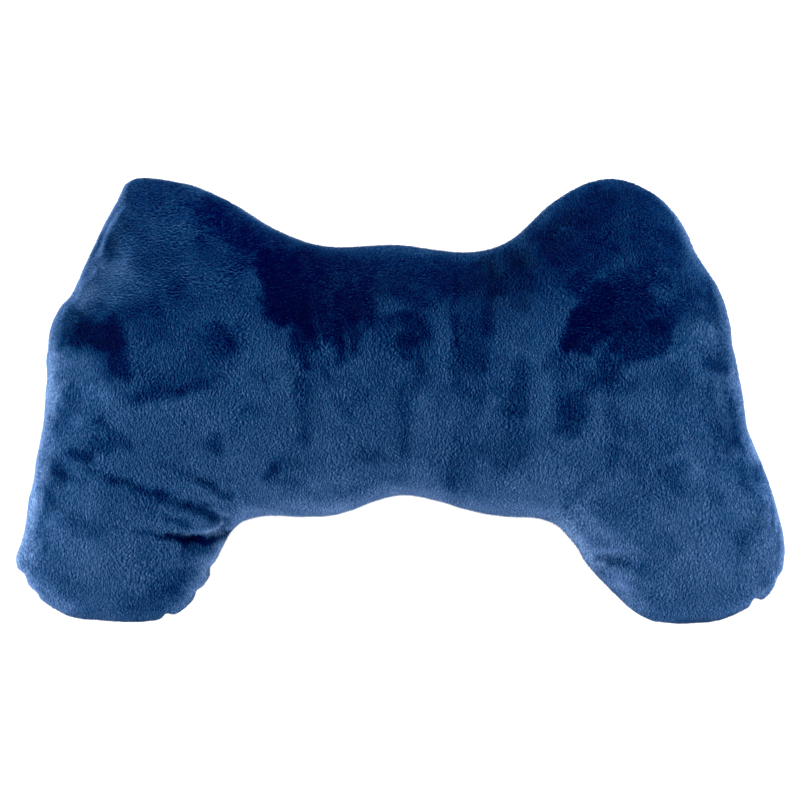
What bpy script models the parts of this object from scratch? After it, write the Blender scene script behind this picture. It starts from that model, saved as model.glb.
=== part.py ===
"""Cushion in the outline of a game controller, lying on its back.

Two plush panels cut to one outline are sewn together round their edges and filled, so
the cushion is one solid: a front with its crown, a back that is flat where it rests,
and the seam between them. All in metres, +Z up. The origin is under the middle of the
outline, at the height of the surface. +X is to the front's right, +Y is up the front.
"""

import bpy
import numpy as np

MM = 0.001

# Heights, in millimetres
SEAM_HEIGHT = 46.0  # of the seam above the surface, and so how deep the back reaches
FRONT_CROWN = 71.0  # of the front above the seam, on a panel without end
BACK_CROWN = 72.0  # of the back below the seam, before the surface flattens it
BACK_EASE = 5.0  # over which the back turns into its flat
CROWN_REACH = 46.0  # how far in from the seam the crown takes to build up
CROWN_POWER = 0.62  # 0.5 makes a round edge, 1 makes a sharp one

# Divisions of the net
STATIONS = 84  # along the cushion, from one grip's end round to the other's
STEPS = 20  # across it, from the outer seam to the inner one
SEAM_PARTS = 200  # of each seam, where a point's distance from it is summed
TINY = 1e-6

# The seams, in millimetres. A section runs from the outer seam to the inner one at the
# same station. Station 0 is the left grip's end and station 100 the right grip's.
OUTER_SEAM = (
    # station, x, y
    (0.0, -214.0, -120.0),
    (3.0, -223.5, -108.0),
    (6.0, -230.0, -99.0),
    (9.0, -227.0, -85.0),
    (12.0, -223.0, -68.0),
    (17.0, -217.5, -37.0),
    (22.0, -213.0, -3.0),
    (27.0, -210.5, 37.0),
    (29.5, -205.5, 53.0),
    (32.0, -196.5, 65.5),
    (35.0, -179.0, 102.0),
    (37.0, -168.5, 121.0),
    (39.0, -156.0, 131.0),
    (41.0, -132.0, 130.5),
    (44.0, -102.0, 119.5),
    (47.0, -71.0, 101.0),
    (49.5, -45.0, 92.5),
    (52.0, -4.0, 93.5),
    (54.5, 41.0, 89.0),
    (57.0, 67.0, 96.0),
    (59.5, 91.0, 117.5),
    (62.5, 120.0, 132.5),
    (66.0, 147.0, 128.0),
    (69.0, 167.0, 111.0),
    (72.5, 180.5, 84.0),
    (74.5, 190.5, 70.0),
    (77.0, 197.5, 50.5),
    (81.0, 204.0, 10.0),
    (85.0, 211.5, -25.0),
    (88.0, 221.0, -47.5),
    (93.0, 230.5, -85.0),
    (97.0, 227.5, -106.0),
    (98.7, 221.5, -115.5),
    (100.0, 212.0, -121.0),
)
INNER_SEAM = (
    # station, x, y
    (0.0, -127.5, -125.0),
    (4.0, -116.0, -108.0),
    (9.0, -107.5, -90.0),
    (16.0, -98.0, -76.0),
    (24.0, -83.0, -70.5),
    (35.0, -56.0, -70.5),
    (43.0, -34.0, -68.5),
    (48.0, -14.0, -61.0),
    (52.0, 2.0, -57.5),
    (56.0, 18.0, -60.5),
    (62.0, 44.0, -67.5),
    (68.0, 64.0, -71.0),
    (74.0, 81.0, -71.5),
    (81.0, 96.0, -77.0),
    (88.0, 111.0, -96.0),
    (94.0, 124.5, -112.5),
    (100.0, 139.0, -125.5),
)
GRIP_BOW = 10.0  # how far a grip's end bows out from a straight line across it
GRIP_STATIONS = 12.0  # over which sections lose that bow

# Folds pressed into the front, in millimetres: a soft trough from its start to its end,
# deepest at the end. One of negative depth is a ridge.
FRONT_FOLDS = (
    # start x, start y, end x, end y, depth, half width
    (-150.0, -76.0, -108.0, -82.0, 9.0, 7.0),
    (-160.0, -66.0, -110.0, -71.0, -2.5, 8.0),
    (-188.0, -41.0, -112.0, -68.0, 4.0, 8.0),
    (-200.0, 8.0, -156.0, -28.0, 3.0, 10.0),
    (-214.0, -34.0, -190.0, -33.0, 3.5, 9.0),
    (162.0, -101.0, 120.0, -94.0, 3.5, 8.0),
    (154.0, -116.0, 118.0, -102.0, -2.5, 7.0),
    (34.0, 28.0, 31.0, 82.0, 1.5, 4.0),
)

# Colour of the plush, linear
PLUSH_BLUE = (0.018, 0.062, 0.172, 1.0)


def smooth_table(table, station):
    """x and y at each station: a cubic between rows, with each row's slope taken from its two neighbours."""
    rows = np.array(table)
    at, points = rows[:, 0], rows[:, 1:] * MM
    slope = np.gradient(points, at, axis=0)
    row = np.clip(np.searchsorted(at, station, side="right") - 1, 0, len(at) - 2)
    span = (at[row + 1] - at[row])[:, None]
    t = (station - at[row])[:, None] / span
    return (
        points[row] * (1 + 2 * t) * (1 - t) ** 2
        + slope[row] * span * t * (1 - t) ** 2
        + points[row + 1] * t**2 * (3 - 2 * t)
        - slope[row + 1] * span * t**2 * (1 - t)
    )


def plan_points(station, across):
    """The plan's points as a grid of sections by steps, with the sections near a grip's end bowed towards it."""
    outer = smooth_table(OUTER_SEAM, station)[:, None]
    inner = smooth_table(INNER_SEAM, station)[:, None]
    plan = outer + (inner - outer) * across[None, :, None]
    from_end = np.minimum(station, 100.0 - station) / GRIP_STATIONS
    fade = (1.0 - np.minimum(from_end, 1.0)) ** 2
    bow = 1.0 - np.abs(2.0 * across - 1.0) ** 3
    plan[:, :, 1] -= GRIP_BOW * MM * fade[:, None] * bow
    return plan


def seam_loop():
    """The whole seam as one closed loop of points: outer seam, right grip's end, inner seam, left grip's end."""
    fine = np.linspace(0.0, 1.0, SEAM_PARTS)
    ends = np.array([0.0, 1.0])
    sides = plan_points(100.0 * fine, ends)
    grips = plan_points(100.0 * ends, fine)
    return np.vstack([sides[:-1, 0], grips[1, :-1], sides[:0:-1, 1], grips[0, :0:-1]])


def depth_inside(points):
    """How deep each point lies inside the seam: (2 / sum of length / distance^3)^(1/2), the distance itself beside a straight seam."""
    loop = seam_loop()
    after = np.roll(loop, -1, axis=0)
    length = np.linalg.norm(after - loop, axis=1)
    middle = (loop + after) / 2
    away = np.linalg.norm(points[:, None] - middle[None], axis=2) + TINY
    return (2.0 / (length / away**3).sum(1)) ** 0.5


def fold_depth(points):
    """Sum of the folds at each point: each falls off as a bell across its line and grows along it as a smooth step."""
    total = np.zeros(len(points))
    for x0, y0, x1, y1, depth, half_width in FRONT_FOLDS:
        start = np.array((x0, y0)) * MM
        line = np.array((x1, y1)) * MM - start
        along = np.clip((points - start) @ line / (line @ line), 0.0, 1.0)
        aside = np.linalg.norm(points - start - along[:, None] * line, axis=1)
        grown = along**2 * (3 - 2 * along)
        total += depth * MM * grown * np.exp(-((aside / (half_width * MM)) ** 2))
    return total


def flattened(reach, limit, ease):
    """reach, eased into limit by a parabola from limit - ease to limit + ease, and flat past that."""
    over = np.clip(reach - (limit - ease), 0.0, 2 * ease)
    return np.minimum(reach, limit - ease) + over - over**2 / (4 * ease)


def cushion_net():
    """The plan with the front's and the back's heights, as grids that share their rim."""
    even = np.linspace(0.0, 1.0, STATIONS + 1)
    crowded_ends = 0.5 * (1.0 - np.cos(np.pi * even))
    station = 100.0 * (0.65 * even + 0.35 * crowded_ends)
    across = 0.5 * (1.0 - np.cos(np.linspace(0.0, np.pi, STEPS + 1)))
    plan = plan_points(station, across)
    flat_plan = plan.reshape(-1, 2)
    crown = (1.0 - np.exp(-depth_inside(flat_plan) / (CROWN_REACH * MM))) ** CROWN_POWER
    front = SEAM_HEIGHT * MM + FRONT_CROWN * MM * crown - fold_depth(flat_plan) * crown
    reach = flattened(BACK_CROWN * MM * crown, SEAM_HEIGHT * MM, BACK_EASE * MM)
    back = SEAM_HEIGHT * MM - reach
    rim = np.ones(plan.shape[:2], bool)
    rim[1:-1, 1:-1] = False
    front = np.where(rim, SEAM_HEIGHT * MM, front.reshape(rim.shape))
    return plan, front, back.reshape(rim.shape), rim


def quads(index):
    """Faces of a grid of point numbers, facing up."""
    corners = [index[:-1, :-1], index[:-1, 1:], index[1:, 1:], index[1:, :-1]]
    return np.stack(corners, axis=-1).reshape(-1, 4)


def make_cushion(collection, material):
    """One closed mesh: the front's grid, and the back's inside points joined to the front's rim."""
    plan, front, back, rim = cushion_net()
    front_index = np.arange(rim.size).reshape(rim.shape)
    back_index = front_index.copy()
    back_index[~rim] = rim.size + np.arange(np.count_nonzero(~rim))
    points = np.vstack(
        [np.dstack([plan, front]).reshape(-1, 3), np.dstack([plan, back])[~rim]]
    )
    points[:, :2] -= (points.min(0) + points.max(0))[:2] / 2
    faces = np.vstack([quads(front_index), quads(back_index)[:, ::-1]])
    mesh = bpy.data.meshes.new("cushion")
    mesh.from_pydata(points.tolist(), [], faces.tolist())
    mesh.shade_smooth()
    mesh.materials.append(material)
    cushion = bpy.data.objects.new("cushion", mesh)
    collection.objects.link(cushion)
    return cushion


def make_plush():
    """Short blue plush."""
    material = bpy.data.materials.new("plush")
    material.use_nodes = True
    shader = material.node_tree.nodes["Principled BSDF"]
    shader.inputs["Base Color"].default_value = PLUSH_BLUE
    shader.inputs["Roughness"].default_value = 0.9
    shader.inputs["Metallic"].default_value = 0.0
    return material


def main():
    """Clears the scene and models the cushion in its own collection."""
    for old in list(bpy.data.objects):
        bpy.data.objects.remove(old, do_unlink=True)
    collection = bpy.data.collections.new("controller_cushion")
    bpy.context.scene.collection.children.link(collection)
    make_cushion(collection, make_plush())


main()
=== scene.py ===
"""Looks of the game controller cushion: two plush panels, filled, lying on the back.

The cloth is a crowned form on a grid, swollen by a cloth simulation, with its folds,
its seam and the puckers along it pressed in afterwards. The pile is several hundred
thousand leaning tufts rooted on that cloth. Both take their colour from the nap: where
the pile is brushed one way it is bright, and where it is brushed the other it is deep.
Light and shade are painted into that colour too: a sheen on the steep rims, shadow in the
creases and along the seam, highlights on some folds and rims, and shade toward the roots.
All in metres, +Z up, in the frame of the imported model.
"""

from functools import partial

import bpy
import numpy as np
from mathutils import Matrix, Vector


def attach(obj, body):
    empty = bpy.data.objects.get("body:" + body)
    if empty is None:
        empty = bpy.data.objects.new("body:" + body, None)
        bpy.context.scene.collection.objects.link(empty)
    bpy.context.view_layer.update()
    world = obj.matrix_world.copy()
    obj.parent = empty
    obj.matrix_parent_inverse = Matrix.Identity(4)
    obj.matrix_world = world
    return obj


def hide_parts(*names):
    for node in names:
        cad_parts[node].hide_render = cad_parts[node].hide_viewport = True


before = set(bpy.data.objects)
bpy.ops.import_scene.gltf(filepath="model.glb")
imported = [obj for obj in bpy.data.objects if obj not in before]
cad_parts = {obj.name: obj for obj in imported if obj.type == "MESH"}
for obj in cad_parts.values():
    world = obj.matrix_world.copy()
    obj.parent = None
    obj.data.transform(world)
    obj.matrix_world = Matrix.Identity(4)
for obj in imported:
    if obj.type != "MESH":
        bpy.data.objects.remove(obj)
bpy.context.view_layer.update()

MM = 0.001

# ------------------------------------------------------------------ sizes, in millimetres
SEAM_HEIGHT = 46.0  # of the seam above the surface
FRONT_CROWN = 71.0  # of the front above the seam, on a panel without end
BACK_CROWN = 72.0  # of the back below it, before the surface flattens it
BACK_EASE = 5.0  # over which the back turns into its flat
CROWN_REACH = 46.0  # how far in from the seam the crown takes to build up
CROWN_POWER = 0.62  # 0.5 makes a round edge, 1 makes a sharp one
GRIP_BOW = 10.5  # how far a grip's end bows out from a straight line across it
GRIP_STATIONS = 12.0  # over which sections lose that bow

NET_SIZE = 4.6  # of a cell of the net that the simulation swells
SWELL_LIMIT = 4.5  # of a point's move in the simulation
HELD_WIDTH = 7.0  # beside the seam, over which the net is held, and as much again to let go

VALLEY_DEPTH = 2.2  # of the groove along the seam
VALLEY_WIDTH = 2.6
PUCKER_DEPTH = 1.2  # of the puckers along the seam
PUCKER_REACH = 11.0
TUCK_RISE = 18.0  # above and below the seam, over which a tuck fades
BIG_LUMPS = 0.8  # depth of the filling's lumps
SMALL_LUMPS = 0.35
PILE_DEPTH = 0.8  # of the brushed pile, square to the cloth
BED = 0.4  # of the cloth above the surface, for the pile that it lies on

BLADE_LENGTH = 1.15  # of the shortest blade of the pile
LENGTH_SPREAD = 0.45  # from the shortest to the longest
BLADE_WIDTH = 0.45  # of the narrowest
WIDTH_SPREAD = 0.2
STREAK_SIZE = 0.7  # across a streak of the pile
GRAIN_STEP = 0.32  # to either side, over which the grain changes
STREAK_LENGTH = 2.2  # of a streak for its width, a plain number
PILE_REACH = 230.5  # how far to either side of the middle the strips of pile reach

# Where the pile's pieces lie, how many there are and how many tufts each has.
PILES = (
    # panel, in front, pieces, tufts in each, seed of the first
    ("front", True, 3, 196000, 100),
    ("back", False, 2, 140000, 200),
)

# The seams. A section runs from the outer seam to the inner one at the same station.
# Station 0 is the left grip's end and station 100 the right grip's.
OUTER_SEAM = (
    # station, x, y
    (0, -215, -121),
    (3, -224.5, -108.5),
    (6, -231.5, -98),
    (9, -228.5, -85.5),
    (12, -224.2, -68),
    (17, -218.7, -37),
    (22, -213.8, -3),
    (27, -210.5, 37),
    (29.5, -205.5, 53),
    (32, -196, 65.5),
    (35, -178.8, 101.9),
    (37, -168.7, 120.9),
    (38.6, -164, 132.4),
    (39.6, -155, 133.8),
    (41, -133, 131.5),
    (44, -102, 120),
    (47, -71.5, 102.5),
    (49.5, -45, 93.5),
    (52, -4, 93.8),
    (54.5, 41, 90.2),
    (57, 66.5, 97),
    (59.5, 90, 118.5),
    (62.5, 119, 133),
    (66, 146.5, 127.6),
    (69, 167, 110.6),
    (72.5, 180.5, 84),
    (74.5, 190, 69.5),
    (77, 197, 50.5),
    (81, 204.6, 10),
    (85, 212.3, -25),
    (88, 222.2, -47.5),
    (93, 231.2, -85),
    (97, 228.5, -106),
    (98.7, 222.5, -116),
    (100, 212.5, -122),
)
INNER_SEAM = (
    # station, x, y
    (0, -126.5, -126),
    (4, -115, -108.5),
    (9, -107, -90.5),
    (16, -98, -76.5),
    (24, -83, -71.3),
    (35, -56, -71.3),
    (43, -34, -69),
    (48, -14, -61.3),
    (52, 2, -57.8),
    (56, 18, -60.8),
    (62, 44, -67.8),
    (68, 64, -71.3),
    (74, 81, -71.6),
    (81, 95.5, -77.5),
    (88, 109.8, -97),
    (94, 123.8, -113.2),
    (100, 137.5, -127),
)

# Where the seam is tucked in.
SEAM_TUCKS = (
    # x, y, depth, half width
    (-226.5, -106, 4, 3),
    (-219, -117, 2, 3.5),
    (-139, -131, 3.4, 3),
    (-120, -116, 2.4, 3.2),
    (-112.5, -101, 2, 3.2),
    (212.6, -121, 6.5, 2.6),
    (227, -107, 1.6, 4),
)

# The tables of folds and strokes are drawn on the flat pattern. The dome takes the pattern
# up by this share of its length for each metre of height above the seam.
DOME_TAKE_UP = 0.75

# Folds in the front: a soft trough from its start to its end, deepest at the end. One of
# negative depth is a ridge.
FRONT_FOLDS = (
    # start x, start y, end x, end y, depth, half width
    (-158, -77, -124, -84, 6, 3),
    (-126, -84, -104, -79, 6, 3),
    (-150, -74, -110, -76, -2.4, 4.5),
    (-150, -90, -114, -91, -2.2, 6),
    (-147, -70, -128, -76, 1.4, 3),
    (-192, -42, -160, -53, 1.6, 3.2),
    (-162, -52, -104, -73, 3.2, 3.6),
    (-184, -11, -156, -27, 1.4, 3.6),
    (-146, -36, -105, -57, 2.4, 3.8),
    (-206, 3, -184, -11, 1.2, 5),
    (-199, -30, -188, -35, 2.4, 4.5),
    (-208, -37, -204, -50, 1.8, 4.5),
    (-206, 36, -203, -4, -1.8, 7),
    (165, -90, 118, -95, 2.8, 4),
    (150, -114, 124, -103, -2.8, 5.5),
    (36, 26, 33, 84, 1, 2.5),
    (54, 40, 56, 84, 0.7, 3),
    (-20, 40, -8, 86, 0.8, 4),
)

# Where the pile is brushed the other way and looks deep: strokes that taper from one end
# to the other. One of negative depth is brushed up bright. Some strokes are painted light
# instead: shadow in the creases and folds of the grips, and highlights on folds and rims.
BRUSHED_AND_PAINTED_LIGHT = (
    # start x, start y, end x, end y, half width at start, at end, depth, width of the rim
    # left shoulder
    (-182, 100, -172, 122, 3, 3, -0.3, 5),
    (-178, 0, -166, -8, 5, 5, -0.18, 6),
    (-194, 22, -182, 6, 8, 7, -0.26, 8),
    (-105, 112, -72, 92, 8, 8, 0.26, 8),
    (-150, 122, -112, 112, 9, 9, 0.16, 9),
    (-186, 46, -172, 46, 6, 6, -0.15, 6),
    (-206, 8, -207, 0, 2.5, 2.5, -0.4, 4),
    (-206, 36, -205, 28, 3, 3, -0.4, 4),
    (-188, 54, -170, 104, 5, 4, -0.2, 6),
    (-154, 40, -149, 36, 4, 4, 0.2, 5),
    (-178, 30, -172, 28, 4, 4, 0.2, 5),
    (-118, 110, -78, 90, 7, 7, 0.34, 7),
    (-184, 42, -173, 36, 8, 9, 0.42, 4),
    (-140, 76, -134, 68, 4, 5, 0.2, 6),
    (-118, 90, -104, 82, 7, 6, 0.22, 7),
    (-120, 98, -116, 94, 4, 4, 0.34, 5),
    (-147, 64, -145, 53, 4, 4, 0.3, 5),
    (-192, 52, -172, 54, 4, 3, 0.16, 5),
    (-156, 14, -138, 8, 4, 4, 0.16, 6),
    (-164, 0, -148, 6, 4, 4, 0.22, 5),
    (-171, 46, -167, 16, 5.5, 5.5, 0.5, 4),
    (-191, 37, -177, 40, 7, 10, 0.42, 6),
    (-199, 34, -194, 35, 4, 5, 0.2, 6),
    (-184, 29, -173, 18, 4, 7, 0.22, 6),
    (-181, 54, -150, 52, 3, 4, 0.22, 6),
    (-153, 50, -112, 30, 10, 12, 0.2, 12),
    (-148, 50, -143, 40, 5, 4, 0.16, 7),
    (-150, 22, -112, 14, 9, 9, 0.16, 12),
    (-109, 41, -106, 34, 6, 8, 0.34, 5),
    (-109, 46, -98, 30, 1.6, 3, 0.32, 2.5),
    (-101, 32, -99, 21, 3, 3, 0.32, 4),
    (-119, 38, -114, 32, 3, 3, 0.22, 4),
    (-157, 1.5, -130, 5.5, 3, 3.6, 0.34, 3),
    (-130, 5.5, -104, 15.5, 3.6, 1.6, 0.32, 3),
    (-150, 8, -118, 13, 6, 4, 0.12, 8),
    (-134, 64, -124, 58, 6, 4, 0.16, 6),
    (-158, 86, -152, 80, 4, 4, 0.16, 6),
    (-161, 105, -154, 97, 4, 4, 0.2, 6),
    (-157, 113, -150, 113, 4, 4, 0.14, 6),
    (-135, 127, -130, 125, 4, 4, 0.2, 6),
    (-128, 119, -118, 118, 3, 4, 0.3, 5),
    (-114, 114, -90, 96, 8, 8, 0.4, 8),
    (-114, 104, -104, 96, 6, 5, 0.25, 6),
    (-101, 90, -94, 78, 4, 4, 0.25, 6),
    (-91, 97, -84, 91, 5, 5, 0.38, 5),
    (-178, 96, -174, 87, 4, 4, 0.42, 5),
    (-186, 74, -182, 72, 3, 3, 0.2, 4),
    (-132, 104, -124, 99, 5, 5, -0.12, 6),
    (-126, 80, -124, 70, 3, 3, -0.12, 5),
    (-180, 62, -170, 84, 12, 9, -0.4, 9),
    (-168, 78, -152, 66, 6, 6, -0.18, 8),
    (-193, 56, -188, 66, 4, 5, -0.3, 5),
    (-172, -14, -166, -18, 4, 4, -0.2, 5),
    (-207, 24, -206, -3, 6, 6, -0.55, 4),
    (-202, -9, -193, -13, 2, 3, -0.35, 4),
    (-206, 38, -204, 30, 3, 3, 0.25, 4),
    # left grip
    (-116, -50, -104, -48, 3, 3, 0.16, 5),
    (-130, -92, -124, -95, 3, 3, 0.22, 4),
    (-158, -55, -150, -62, 3, 3, 0.24, 4),
    (-218, -50, -223, -92, 3, 3, -0.2, 4),
    (-208, -22, -211, -46, 3, 3, -0.35, 5),
    (-104, -64, -98, -68, 0.8, 1, 0.3, 2),
    # painted shadow in the main crease's right end
    (-114, -83.8, -104, -80.8, 2.6, 1.6, 0.9, 1.4),
    (-109, -20, -108, -28, 3, 4, 0.34, 4),
    (-188, -127, -142, -127, 3, 3, 0.24, 5),
    (-138, -114, -126, -118, 4, 4, 0.3, 6),
    (-196, -71, -184, -78, 5, 5, 0.24, 6),
    (-205, -3, -202, -9, 2.5, 2.5, 0.4, 4),
    (-196, -31, -188, -35, 4.5, 4, 0.48, 3.5),
    (-183, -27, -174, -29, 4.5, 5, 0.34, 4),
    (-207, -37, -204, -48, 3, 3, 0.4, 4),
    (-204, -44, -194, -49, 2, 3, 0.25, 4),
    (-212, -54, -209, -62, 3, 3, 0.3, 5),
    # these eight rows: painted shadow in the left grip's folds
    (-190, -42, -168, -50, 1.2, 2, 0.3, 3),
    (-172, -48, -146, -56.5, 2, 4, 0.42, 4),
    (-146, -56.5, -128, -63, 3, 3.4, 0.38, 3.5),
    (-128, -62, -105, -71.5, 3, 3.2, 0.52, 3.5),
    (-182, -13, -163, -27, 2.4, 3, 0.34, 4),
    (-144, -38, -123, -45, 2, 3, 0.24, 5),
    (-120, -48, -104, -58, 2, 2.4, 0.44, 3),
    (-142, -69, -128, -75, 2.2, 2.6, 0.42, 3),
    (-158, -64, -148, -66, 2.4, 3.4, 0.22, 5),
    # these four rows: painted shadow in the main crease, the last the softer shade under it
    (-160, -77.5, -142, -81.5, 0.8, 1.6, 0.4, 1.8),
    (-148, -80.3, -128, -83.6, 0.8, 2.2, 0.86, 1.4),
    (-128, -83.2, -114, -83.8, 2.2, 2.6, 0.9, 1.4),
    (-128, -88, -113, -90, 2.4, 3, 0.44, 4),
    (-170, -60, -152, -92, 12, 9, 0.1, 12),
    (-146, -114, -127, -104, 6, 4, 0.3, 8),
    (-165, -121, -138, -119, 5, 5, 0.18, 8),
    # painted highlight along the grip's inner rim
    (-106, -86, -112, -97, 1.2, 1.5, -0.5, 2.5),
    # these two rows: painted highlights along the grip's outer rim
    (-220, -62, -225, -102, 4, 5, -0.34, 5),
    (-219, -107, -200, -124, 4, 3, -0.34, 5),
    (-200, -74, -186, -98, 9, 9, -0.12, 10),
    (-188, -50, -186, -64, 4, 4, -0.15, 6),
    (-94, -8, -98, -20, 2.4, 3, 0.12, 5),
    (-114, -26, -109, -30, 3, 3, 0.3, 4),
    (-96, -53, -92, -56, 3, 3, 0.15, 5),
    # painted highlight on the lip above the main crease
    (-130, -80, -104, -77.5, 0.8, 1.2, -0.2, 1.5),
    # under the edge between the horns
    (-60, 76, 40, 66, 16, 16, 0.1, 12),
    (-52, 20, -38, 10, 5, 5, 0.12, 7),
    (-50, 46, -47, 38, 2.5, 2.5, 0.34, 3.5),
    (-84, 58, -80, 50, 3, 3, 0.45, 3.5),
    (-86, 84, -84, 72, 2.5, 2.5, 0.3, 4),
    (4, 84, 44, 82, 5, 5, 0.2, 7),
    (-46, 84, -4, 82, 5, 5, 0.26, 7),
    (-76, -52, -58, -56, 6, 6, -0.14, 8),
    (-30, -46, 20, -46, 7, 7, -0.14, 9),
    (-95, 44, -93, 34, 3, 3, 0.22, 4),
    (-84, 78, -80, 68, 3, 3, 0.3, 4),
    (-70, 20, -66, 18, 3, 3, 0.2, 4),
    (-4, 70, 24, 60, 5, 6, 0.22, 7),
    (-44, 77, 38, 73, 9, 9, 0.24, 9),
    (-6, -57, 24, -58, 3, 3, -0.2, 5),
    (28, 8, 46, 2, 4, 4, 0.14, 6),
    (62, 24, 76, 18, 5, 5, 0.16, 7),
    (73, 0, 72, -34, 2.5, 3, 0.18, 4),
    (25, 52, 26, 34, 4, 4, -0.14, 6),
    (11, 31, 11, 20, 2.5, 2.5, 0.38, 3),
    (-37, 34, -35, 25, 4, 3.5, 0.5, 4),
    (-60, 44, -56.5, 21, 5.5, 3, 0.62, 4),
    (-96, 91, -88, 84, 5, 5, 0.48, 5),
    (-81, 84, -72, 50, 5.5, 6.5, 0.92, 3),
    (-85, 62, -75, 44, 2, 1.6, 0.5, 2.5),
    (-70, 82, -64, 54, 8, 8, 0.8, 5),
    (-58, 80, -54, 56, 11, 9, 0.7, 6),
    (-62, 54, -54, 42, 6, 3.5, 0.8, 3),
    (-54, 44, -51, 31, 3, 1.8, 0.78, 2.5),
    (-65, 44, -64, 28, 2.5, 3, 0.45, 4),
    (-44, 72, -42, 64, 4, 4, 0.45, 4),
    (-46, 54, -44, 40, 3, 4, 0.6, 3.5),
    (-41, 58, -39, 44, 2, 2, 0.55, 3),
    (-38, 62, -35.5, 30, 2, 1.8, 0.75, 2),
    (-29, 60, -26, 53, 9.5, 7, 0.68, 4),
    (-29, 50, -26, 30, 6, 3, 0.6, 4),
    (-20, 70, -17, 48, 3.5, 4, 0.62, 4),
    (-46, 80, -18, 77, 7, 6, 0.3, 8),
    (-13, 72, -12, 66, 3, 3, 0.2, 5),
    (-22, 45, -22, 40, 2.5, 2.5, 0.35, 3.5),
    (-8, 48, 4, 50, 2.6, 4, 0.45, 3.5),
    (6, 46, 8, 39, 7, 7, 0.44, 5),
    (15, 46, 17, 38, 4, 3.5, 0.46, 4),
    (3, 35, 2.5, 29, 7, 5, 0.48, 4),
    (-8, 40, -4, 34, 5, 5, 0.22, 6),
    (-4, 63, 13, 58, 4.5, 5, 0.48, 5),
    (10, 73, 52, 70, 6, 8, 0.3, 8),
    (14, 66, 30, 64, 4, 5, 0.2, 7),
    (12, 16, 11, 6, 3, 3, 0.2, 4),
    (2, 10, 3.5, -31, 4, 3, 0.22, 4),
    (32, 81, 31.5, 52, 1, 1.2, 0.34, 1.8),
    (33, 48, 32.5, 34, 1.6, 1.8, 0.55, 2),
    (34, 34, 33, 10, 3, 3, 0.3, 4),
    (45, 42, 45, 24, 9, 9, 0.34, 5),
    (47, 27, 50, 21, 5, 4, 0.16, 5),
    (52, 64, 52, 42, 2.6, 3.4, 0.4, 4),
    (55, 84, 56, 66, 2.6, 2.4, 0.3, 4),
    (42, 10, 37, -44, 9, 8, 0.14, 6),
    (37, 8, 45, 6, 4, 3, 0.16, 6),
    (60, 7, 74, 5, 4, 3, 0.26, 5),
    (71, 22, 70.5, -6, 5, 5, 0.24, 3),
    (66, -10, 66, -34, 4.5, 7, 0.2, 4),
    (77, -22, 76, -30, 3, 3, 0.2, 4),
    (52, -30, 60, -40, 4, 4, 0.22, 6),
    (30, -38, 30, -50, 3.5, 3.5, 0.24, 5),
    (20, -38, 34, -56, 5, 5, 0.1, 8),
    (-60, 10, -58, -22, 5, 3, 0.24, 4),
    (-58, -21, -57, -24, 4, 3.5, 0.16, 3),
    (-56, 8, -52, 0, 5, 4, 0.12, 6),
    (-44, 20, -43, 12, 3, 3, 0.22, 4),
    (-30, 14, -24, 4, 4, 5, 0.16, 6),
    (-38, 0, -31, -8, 3, 4, 0.24, 5),
    (-88, 16, -82, 12, 3, 3, 0.2, 5),
    (-92, -4, -84, -8, 3, 3, 0.22, 5),
    (-81, -44, -76.5, -40, 2.8, 2.6, 0.44, 2.5),
    (-76, -38, -64, -37, 3.5, 4, 0.2, 4),
    (-78, -47, -66, -48, 4, 4, 0.3, 5),
    (-20, -30, -14, -34, 4, 5, 0.24, 6),
    (-16, -46, 2, -48, 4, 4, 0.12, 6),
    (14, 2, 16, -16, 5, 5, -0.16, 6),
    (54, 0, 46, -22, 3, 3.5, -0.18, 5),
    (70, 26, 88, 12, 8, 6, -0.12, 8),
    (72, -12, 82, -12, 3, 3, -0.15, 5),
    (-72, 16, -70, 8, 4, 4, -0.16, 5),
    (-78, 36, -76, 28, 5, 6, -0.14, 6),
    (-44, -30, -42, -52, 9, 11, -0.16, 10),
    (-94, -62, -34, -64, 5, 5, -0.2, 7),
    (44, -60, 92, -66, 5, 6, -0.16, 7),
    (88, -38, 104, -50, 8, 6, -0.12, 8),
    (-10, 89, 46, 86, 2, 2, -0.25, 3),
    # right horn
    (191, 16, 192, 0, 2.5, 2.5, -0.35, 4),
    (125, 30, 125, 10, 2.5, 2.5, 0.34, 3.5),
    (116, 36, 120, 32, 3, 3, 0.35, 3),
    (152, 50, 158, 52, 4, 4, -0.26, 4),
    (187, 48, 192, 34, 4, 4, -0.35, 5),
    (184, 70, 196, 24, 3, 3, 0.22, 5),
    (100, 122, 148, 120, 7, 7, 0.16, 9),
    (156, 104, 168, 92, 4, 4, 0.22, 6),
    (60, 76, 100, 62, 7, 6, 0.1, 9),
    (180, 44, 190, 38, 6, 5, -0.3, 6),
    (130, 24, 130, 14, 3, 3, 0.4, 4),
    (120, 48, 136, 46, 4, 4, 0.22, 6),
    (130, 73, 172, 72, 5, 5, 0.14, 7),
    (108, 86, 116, 92, 6, 6, 0.24, 6),
    (118, 124, 122, 100, 8, 9, 0.2, 9),
    (184, 75, 189, 56, 2.5, 3, 0.25, 5),
    (80, 98, 94, 88, 6, 6, 0.24, 7),
    (104, 104, 138, 93, 6, 6, 0.26, 8),
    (146, 67, 154, 56, 4, 4, 0.24, 5),
    (160, 97, 164, 84, 5, 5, 0.35, 6),
    (122, 26, 121, 12, 3, 3, 0.3, 5),
    (104, 33.5, 121, 41, 3.5, 6, 0.6, 4),
    (62, 68, 74, 56, 5, 5, 0.34, 6),
    (66, 88, 78, 68, 6, 8, 0.34, 7),
    (82, 104, 100, 88, 7, 8, 0.36, 7),
    (88, 80, 104, 68, 8, 6, 0.3, 8),
    (96, 114, 146, 112, 10, 14, 0.28, 12),
    (118, 118, 126, 112, 6, 6, 0.2, 8),
    (112, 100, 102, 84, 12, 9, 0.26, 9),
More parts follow.
